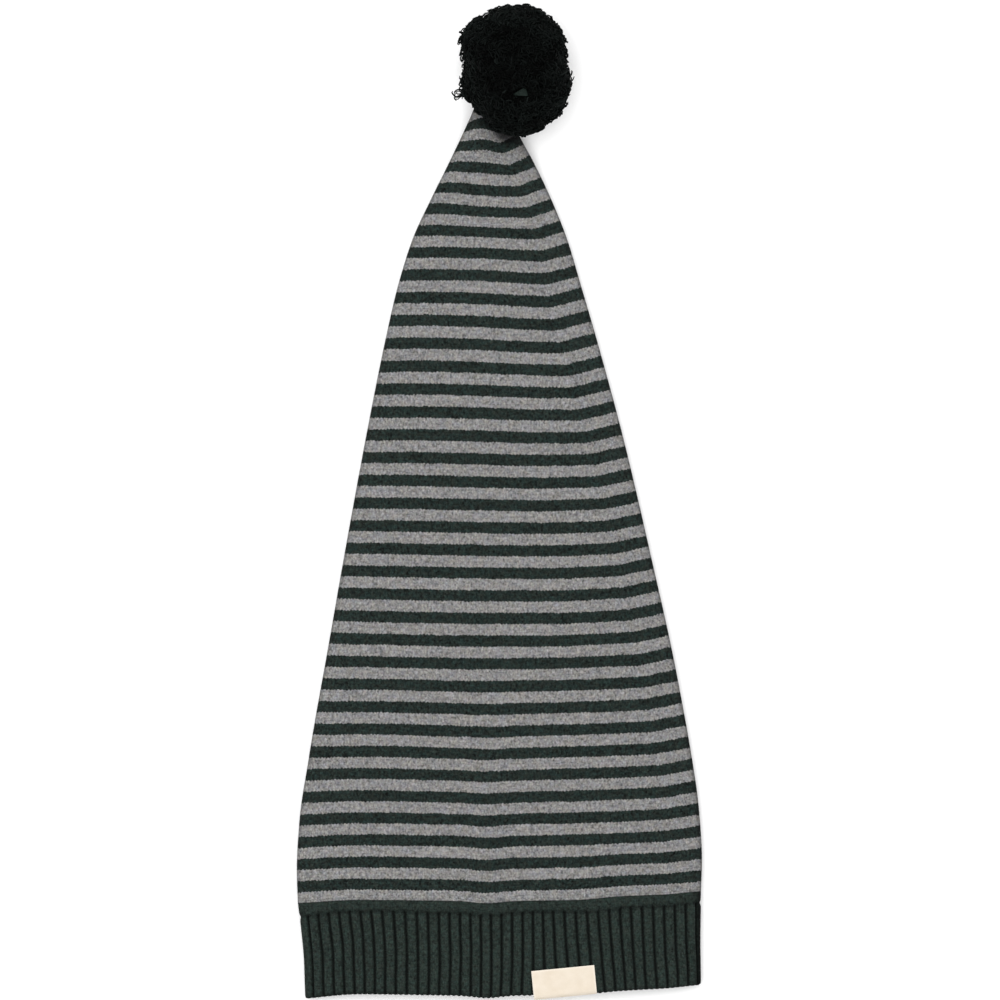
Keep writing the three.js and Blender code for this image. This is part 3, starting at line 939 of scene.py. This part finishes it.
def band_wall_level(x):
    """The height of the middle of the band's top wall at a place across the hat."""
    half = CROWN_HALF * BAND_CUTS[0]["half"] - BAND_WALL / 2
    fold = FOLD_SHARE * CROWN_HEIGHT
    across = np.clip(np.abs(x - CROWN_HALF * BAND_CUTS[0]["lean"]) / half, 0, 1)
    swell = (1 - across**TOP_SQUARENESS) ** (1 / TOP_SQUARENESS)
    return fold + (CROWN_HEIGHT - fold - BAND_WALL / 2) * swell


def end_caps(stations, sides):
    """Quads that close the label's two side edges, and their corners in the flat layout."""
    faces, corners = [], []
    far = (stations - 1) * sides
    pairs = sides // 2
    for pair in range(pairs - 1):
        opposite = sides - 1 - pair
        faces.append((pair, pair + 1, opposite - 1, opposite))
        faces.append((far + pair + 1, far + pair, far + opposite, far + opposite - 1))
        start, end = pair / pairs, (pair + 1) / pairs
        corners.extend(((start, 0.92), (end, 0.92), (end, 0.94), (start, 0.94)))
        corners.extend(((end, 0.96), (start, 0.96), (start, 0.98), (end, 0.98)))
    return faces, corners


def label_line():
    """The folded tape's middle line, which way it faces, its front leaf and where it folds."""
    middle = BAND_WALL / 2 + LABEL_GAP + LABEL_CLOTH / 2
    fold_at = middle + LABEL_CLOTH / 2
    leaf = np.linspace(LABEL_HEIGHT, fold_at, LEAF_POINTS)
    turn = np.linspace(0, np.pi, TURN_POINTS)[1:-1]
    along = np.concatenate([leaf, fold_at - middle * np.sin(turn), leaf[::-1]])
    level = np.concatenate([0 * leaf + middle, middle * np.cos(turn), 0 * leaf - middle])
    facing_along = np.concatenate([0 * leaf, -np.sin(turn), 0 * leaf])
    facing_up = np.concatenate([0 * leaf + 1, np.cos(turn), 0 * leaf - 1])
    front = np.concatenate([0 * leaf + 1, 0 * turn, 0 * leaf])
    return along, level, facing_along, facing_up, front, fold_at


def label_tape():
    """The label: a strip of woven tape folded over the band's edge, its front leaf a little loose."""
    along, level, facing_along, facing_up, front, fold_at = label_line()
    across = np.linspace(-0.5, 0.5, TAPE_STATIONS) * LABEL_WIDTH
    lift = LABEL_LIFT * front * np.clip((along - fold_at) / (LABEL_HEIGHT - fold_at), 0, 1) ** 2
    hem_drop, _ = row_drop(np.array(LABEL_SIDE), np.array(-BAND_HEIGHT / CROWN_LENGTH))
    fold_line = HEM_Y - hem_drop - LABEL_DROP
    leaf_faces = []
    for side in (1, -1):
        along_side = along + side * LABEL_CLOTH / 2 * facing_along
        level_side = level + side * LABEL_CLOTH / 2 * facing_up + lift
        right, ahead = np.meshgrid(across, along_side, indexing="ij")
        ripple = waves(right, ahead, seed=41, shortest=0.008, longest=0.02)
        x = LABEL_SIDE + right * math.cos(LABEL_TILT) - ahead * math.sin(LABEL_TILT)
        y = fold_line + right * math.sin(LABEL_TILT) + ahead * math.cos(LABEL_TILT)
        z = band_wall_level(x) + level_side + LABEL_RIPPLE * ripple * front
        leaf_faces.append(np.stack([x, y, z], axis=-1))
    outer, inner = leaf_faces
    rings = np.concatenate([outer, inner[:, ::-1]], axis=1)
    stations, sides = rings.shape[:2]
    faces, corners = ring_grid(stations, sides, False, np.linspace(0, 0.9, stations))
    cap_faces, cap_corners = end_caps(stations, sides)
    travelled = np.cumsum(np.hypot(np.diff(along, prepend=along[0]), np.diff(level, prepend=level[0])))
    to_side = np.repeat(LABEL_WIDTH / 2 - np.abs(across), sides)
    to_end = np.tile(np.concatenate([travelled, travelled[::-1]]), stations)
    edge = np.exp(-((np.minimum(to_side, to_end) / LABEL_EDGE_WIDTH) ** 2))
    weave = {"weave": np.stack([np.repeat(across, sides), to_end, edge], axis=-1)}
    return make_mesh("label_tape", rings.reshape(-1, 3), faces + cap_faces, corners + cap_corners, weave)


def label_material():
    """Cream woven cotton tape, bare."""
    shader = Shader("woven_label")
    across, along, edge = shader.parts("weave")
    warp = shader.math("SINE", shader.product(across, 2 * math.pi / TAPE_WARP))
    weft = shader.math("SINE", shader.product(along, 2 * math.pi / TAPE_WEFT))
    weave = shader.product(warp, weft)
    light = shader.remap(weave, -1.0, 1.0, 0.94, 1.02)
    light = shader.add(light, shader.sway(3000.0, amount=0.03, detail=2.0))
    colour = blotched(shader, 220.0, CREAM, CREAM_PALE, softness=0.2, detail=2.0)
    colour = shader.times(shader.mix(edge, colour, CREAM_EDGE), light)
    shader.cloth(colour, roughness=0.85, gloss=0.1, sheen=0.05, tint=(1.0, 0.97, 0.92))
    shader.bump(weave, distance=0.00005, strength=0.5)
    return shader.material


def pompom_reach(way):
    """How far the pompom reaches from its middle in each direction."""
    angle = np.degrees(np.arctan2(way[:, 1], way[:, 0]))
    flat = POMPOM_HALF_LENGTH * read_table(POMPOM_OUTLINE, "reach", angle)
    level = np.hypot(way[:, 0], way[:, 1])
    return 1 / np.sqrt((level / flat) ** 2 + (way[:, 2] / POMPOM_HALF_HEIGHT) ** 2)


def unit(vectors):
    """Vectors of length 1."""
    return vectors / np.linalg.norm(vectors, axis=-1, keepdims=True)


def yarn_ways(count, draw):
    """Directions spread evenly over a ball, a little disturbed."""
    number = np.arange(count) + 0.5
    level = 1 - 2 * number / count
    turn = np.pi * (3 - math.sqrt(5)) * number
    around = np.sqrt(1 - level**2)
    way = np.stack([around * np.cos(turn), around * np.sin(turn), level], axis=-1)
    return unit(way + draw.normal(0, WAY_UNEVEN, way.shape))


def yarn_reach(way, tuft_of, draw):
    """How far each yarn end stands out: in uneven tufts, with a few loose ends."""
    count = len(way)
    slant_x, slant_y = way[:, 0] + way[:, 2], way[:, 1] - way[:, 2]
    lumps = REACH_LUMPS * waves(slant_x, slant_y, seed=61, shortest=0.25, longest=0.6)
    reach = pompom_reach(way) * (REACH_SHARE + lumps)
    reach = reach + draw.uniform(-TUFT_UNEVEN, TUFT_UNEVEN, TUFTS)[tuft_of]
    reach = reach + draw.normal(0, REACH_UNEVEN, count)
    stray = draw.uniform(0, 1, count) < STRAY_SHARE
    reach = reach + stray * draw.uniform(*STRAY_LENGTH, count)
    for tuft in LOOSE_TUFTS:
        angle = math.radians(tuft["angle"])
        ahead = way @ np.array([math.cos(angle), math.sin(angle), 0])
        near = ahead > math.cos(math.radians(tuft["spread"]))
        chosen = near & (draw.uniform(0, 1, count) < tuft["share"])
        reach = reach + chosen * draw.uniform(LEAST_LOOSE, 1, count) * tuft["length"]
    return reach


def curly_paths(way, tuft_way, reach, draw):
    """The middle line of each yarn end: out along its way, drawn to its tuft and curling over."""
    count = len(way)
    side = unit(np.cross(way, draw.normal(0, 1, way.shape)))
    other = np.cross(way, side)
    share = YARN_SHARES[None, :]
    start = draw.uniform(*CURL_START, count)[:, None]
    tilt = draw.uniform(*CURL_TILT, count)[:, None] * np.clip((share - start) / (1 - start), 0, 1)
    turn = draw.uniform(0, 2 * np.pi, count)[:, None]
    turn = turn + draw.uniform(-CURL_TWIST, CURL_TWIST, count)[:, None] * share
    sideways = side[:, None] * np.cos(turn)[..., None] + other[:, None] * np.sin(turn)[..., None]
    heading = way[:, None] * np.cos(tilt)[..., None] + sideways * np.sin(tilt)[..., None]
    heading = heading + draw.normal(0, YARN_WAVER, heading.shape)
    path = YARN_LENGTH * np.cumsum(heading * np.diff(YARN_SHARES, prepend=0)[:, None], axis=1)
    out = np.einsum("nsk,nk->ns", path, way).max(axis=1)
    drawn = (tuft_way - way) * (TUFT_CLUMP * reach)[:, None]
    return path + (way * (reach - out)[:, None])[:, None] + drawn[:, None] * share[..., None]


def yarn_light_and_shade(way, tuft_of, draw):
    """How light each yarn end is: by chance and by tuft, with painted light at the sides and a few painted
    highlights.
    """
    count = len(way)
    level = np.hypot(way[:, 0], way[:, 1])
    rim = np.clip((level - RIM_START) / (1 - RIM_START), 0, 1) ** RIM_POWER
    light = draw.uniform(*END_LIGHT, count) * draw.uniform(*TUFT_LIGHT, TUFTS)[tuft_of]
    highlighted = draw.uniform(0, 1, count) < HIGHLIGHT_SHARE
    return light * (1 + RIM_LIGHT * rim) * (1 + HIGHLIGHT_GAIN * highlighted)


def yarn_mesh(name, path, thickness, shade, tint):
    """Round tapering threads along many paths, as one mesh."""
    count, steps = path.shape[:2]
    sides = 3
    tangent = unit(np.gradient(path, axis=1))
    guide = unit(np.cross(tangent, np.array([0.31, 0.57, 0.76])))
    beside = np.cross(tangent, guide)
    taper = np.ones(steps)
    taper[-2:] = YARN_TAPER
    rings = []
    for corner in range(sides):
        angle = 2 * np.pi * corner / sides
        out = guide * math.cos(angle) + beside * math.sin(angle)
        rings.append(path + out * (thickness[:, None] * taper[None, :])[..., None])
    points = np.stack(rings, axis=2)
    points[..., 2] = np.maximum(points[..., 2], 0.0)
    start = (np.arange(count) * steps * sides)[:, None, None]
    low = start + (np.arange(steps - 1) * sides)[None, :, None] + np.arange(sides)[None, None, :]
    turned = np.roll(low, -1, axis=2)
    quads = np.stack([low, turned, turned + sides, low + sides], axis=-1).reshape(-1, 4)
    first = np.arange(count) * steps * sides
    last = first + (steps - 1) * sides
    inner_caps = np.stack([first + 2, first + 1, first], axis=-1)
    outer_caps = np.stack([last, last + 1, last + 2], axis=-1)
    faces = quads.tolist() + inner_caps.tolist() + outer_caps.tolist()
    yarn = np.stack([
        np.repeat(shade, steps * sides),
        np.tile(np.repeat(YARN_SHARES, sides), count),
        np.repeat(tint, steps * sides),
    ], axis=-1)
    return make_mesh(name, points.reshape(-1, 3), faces, None, {"yarn": yarn})


def tie_paths():
    """A fan of green yarn ends that shows in the parting on top of the pompom."""
    spread = np.linspace(0, 1, TIE_ENDS)[:, None]
    share = YARN_SHARES[None, :]
    x = TIE_START[0] + (TIE_REACH - TIE_UNEVEN * spread) * share
    y = TIE_START[1] + TIE_WIDTH * (spread - TIE_LEAN) * share
    z = TIE_START[2] + TIE_ARCH * np.sin(np.pi * share) + 0 * spread
    return np.stack([x, y, z], axis=-1)


def pompom_yarn():
    """The pompom: thousands of curly ends of cut yarn in three layers, and the ends of its tie."""
    draw = np.random.default_rng(5)
    way = yarn_ways(YARN_ENDS, draw)
    tuft = yarn_ways(TUFTS, draw)
    tuft_of = np.argmax(way @ tuft.T, axis=1)
    reach = yarn_reach(way, tuft_of, draw)
    path = curly_paths(way, tuft[tuft_of], reach, draw) + POMPOM_MIDDLE
    apart = np.abs(path[..., :2] - TIE_PARTING[:2]) / TIE_CLEAR
    buried = (np.linalg.norm(apart, axis=-1) < 1) & (path[..., 2] > TIE_PARTING[2])
    path[..., 2] = np.where(buried, TIE_PARTING[2], path[..., 2])
    thickness = draw.uniform(YARN_THIN, YARN_THICK, YARN_ENDS)
    shade = yarn_light_and_shade(way, tuft_of, draw)
    third = YARN_ENDS // 3
    pieces = []
    for number, layer in enumerate(("top", "middle", "bottom")):
        ends = slice(number * third, (number + 1) * third)
        name = f"pompom_yarn_{layer}"
        pieces.append(yarn_mesh(name, path[ends], thickness[ends], shade[ends], np.zeros(third)))
    tie = np.ones(TIE_ENDS)
    pieces.append(yarn_mesh("pompom_tie", tie_paths(), TIE_THICK * tie, tie, tie))
    return pieces


def pompom_core():
    """The dark bound middle that the yarn ends stand on."""
    level = np.linspace(-1, 1, CORE_RINGS + 2)[1:-1, None]
    turn = np.arange(CORE_SIDES)[None, :] / CORE_SIDES * 2 * np.pi
    around = np.sqrt(1 - level**2)
    way = np.stack([around * np.cos(turn), around * np.sin(turn), level + 0 * turn], axis=-1)
    way = way.reshape(-1, 3)
    bumps = 1 + CORE_BUMPS * waves(way[:, 0], way[:, 1], seed=51, shortest=0.2, longest=0.5)
    points = way * (CORE_SHARE * pompom_reach(way) * bumps)[:, None] + POMPOM_MIDDLE
    points[:, 2] = np.maximum(points[:, 2], CORE_LEAST_LEVEL)
    low, high = 0.02, 0.98
    faces, corners = ring_grid(CORE_RINGS, CORE_SIDES, False, np.linspace(low, high, CORE_RINGS))
    fan_faces, fan_corners = end_fans(len(points), CORE_SIDES, (0.0, low), (1.0, high))
    bottom = points[:CORE_SIDES].mean(axis=0)
    top = points[-CORE_SIDES:].mean(axis=0) + [0, 0, CORE_TOP_RISE]
    points = np.concatenate([points, [bottom, top]])
    return make_mesh("pompom_core", points, faces + fan_faces, corners + fan_corners, {})


def pompom_material():
    """Black cut yarn, lighter and a little greenish where its painted light is higher."""
    shader = Shader("pompom_yarn")
    shade, depth, tint = shader.parts("yarn")
    light = shader.product(shade, shader.add(1.0, shader.sway(1800.0, amount=0.3, detail=2.0)))
    # Painted shade towards each end's root, deep in the pompom
    light = shader.product(light, shader.remap(depth, 0.5, 1.0, 0.75, 1.0))
    # Ends with more painted light turn greenish
    colour = shader.mix(shader.remap(shade, 0.5, 1.5), BLACK_YARN, BLACK_YARN_GREEN)
    colour = shader.times(shader.mix(tint, colour, TIE_YARN), light)
    shader.cloth(colour, roughness=0.8, gloss=0.04, tint=(0.7, 0.8, 0.76))
    shader.bump(shader.noise(2400.0, detail=2.0), distance=0.0002, strength=0.6)
    return shader.material


def floor_material():
    """The pale floor."""
    shader = Shader("floor")
    tone = shader.remap(shader.noise(4.0), 0.3, 0.7, 0.955, 0.97)
    shader.cloth(shader.vector(tone, tone, tone), roughness=0.9, gloss=0.1)
    return shader.material


def lay_floor():
    """A wide pale floor under the hat."""
    half = 6.0
    drop = 0.0001
    corners = [[half * x, half * y, -drop] for x, y in ((-1, -1), (1, -1), (1, 1), (-1, 1))]
    floor = make_mesh("floor", np.array(corners), [(0, 1, 2, 3)], None, {})
    floor.data.materials.append(floor_material())


def place_camera():
    """A long lens straight above the hat, so that its height hardly shifts what is seen."""
    data = bpy.data.cameras.new("camera")
    data.lens = CAMERA_LENS
    data.sensor_width = CAMERA_SENSOR
    data.clip_end = CAMERA_CLIP_END
    camera = place_in_scene("camera", data)
    camera.location = (0, 0, VIEW_WIDTH * CAMERA_LENS / CAMERA_SENSOR + VIEW_LEVEL)
    bpy.context.scene.camera = camera


def hang_light(name, place, size, power):
    """A large soft lamp that faces the hat."""
    data = bpy.data.lights.new(name, "AREA")
    data.size = size
    data.energy = power
    lamp = place_in_scene(name, data)
    lamp.location = place
    x, y, z = place
    lamp.rotation_euler = (math.atan2(math.hypot(x, y), z), 0, math.atan2(x, -y))


def light_studio():
    """Even light from all round, and two soft lamps for a little shape."""
    world = bpy.data.worlds.new("studio")
    world.use_nodes = True
    background = world.node_tree.nodes["Background"]
    background.inputs["Color"].default_value = (1, 1, 1, 1)
    background.inputs["Strength"].default_value = WORLD_LIGHT
    bpy.context.scene.world = world
    for lamp in LAMPS:
        hang_light(**lamp)
    bpy.context.scene.view_settings.view_transform = "Standard"


def dress(piece, material, node):
    """Gives a piece its material and its body, and hides the solid that it stands for."""
    piece.data.materials.append(material)
    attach(piece, "root")
    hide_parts(node)


place_camera()
light_studio()
lay_floor()

crown = crown_knit()
dress(crown, striped_knit_material(), "crown")

band = band_knit()
dress(band, rib_knit_material(), "rib_band")

label = label_tape()
dress(label, label_material(), "label")

black_yarn = pompom_material()
for yarn in pompom_yarn():
    dress(yarn, black_yarn, "pompom")
core = pompom_core()
dress(core, black_yarn, "pompom")
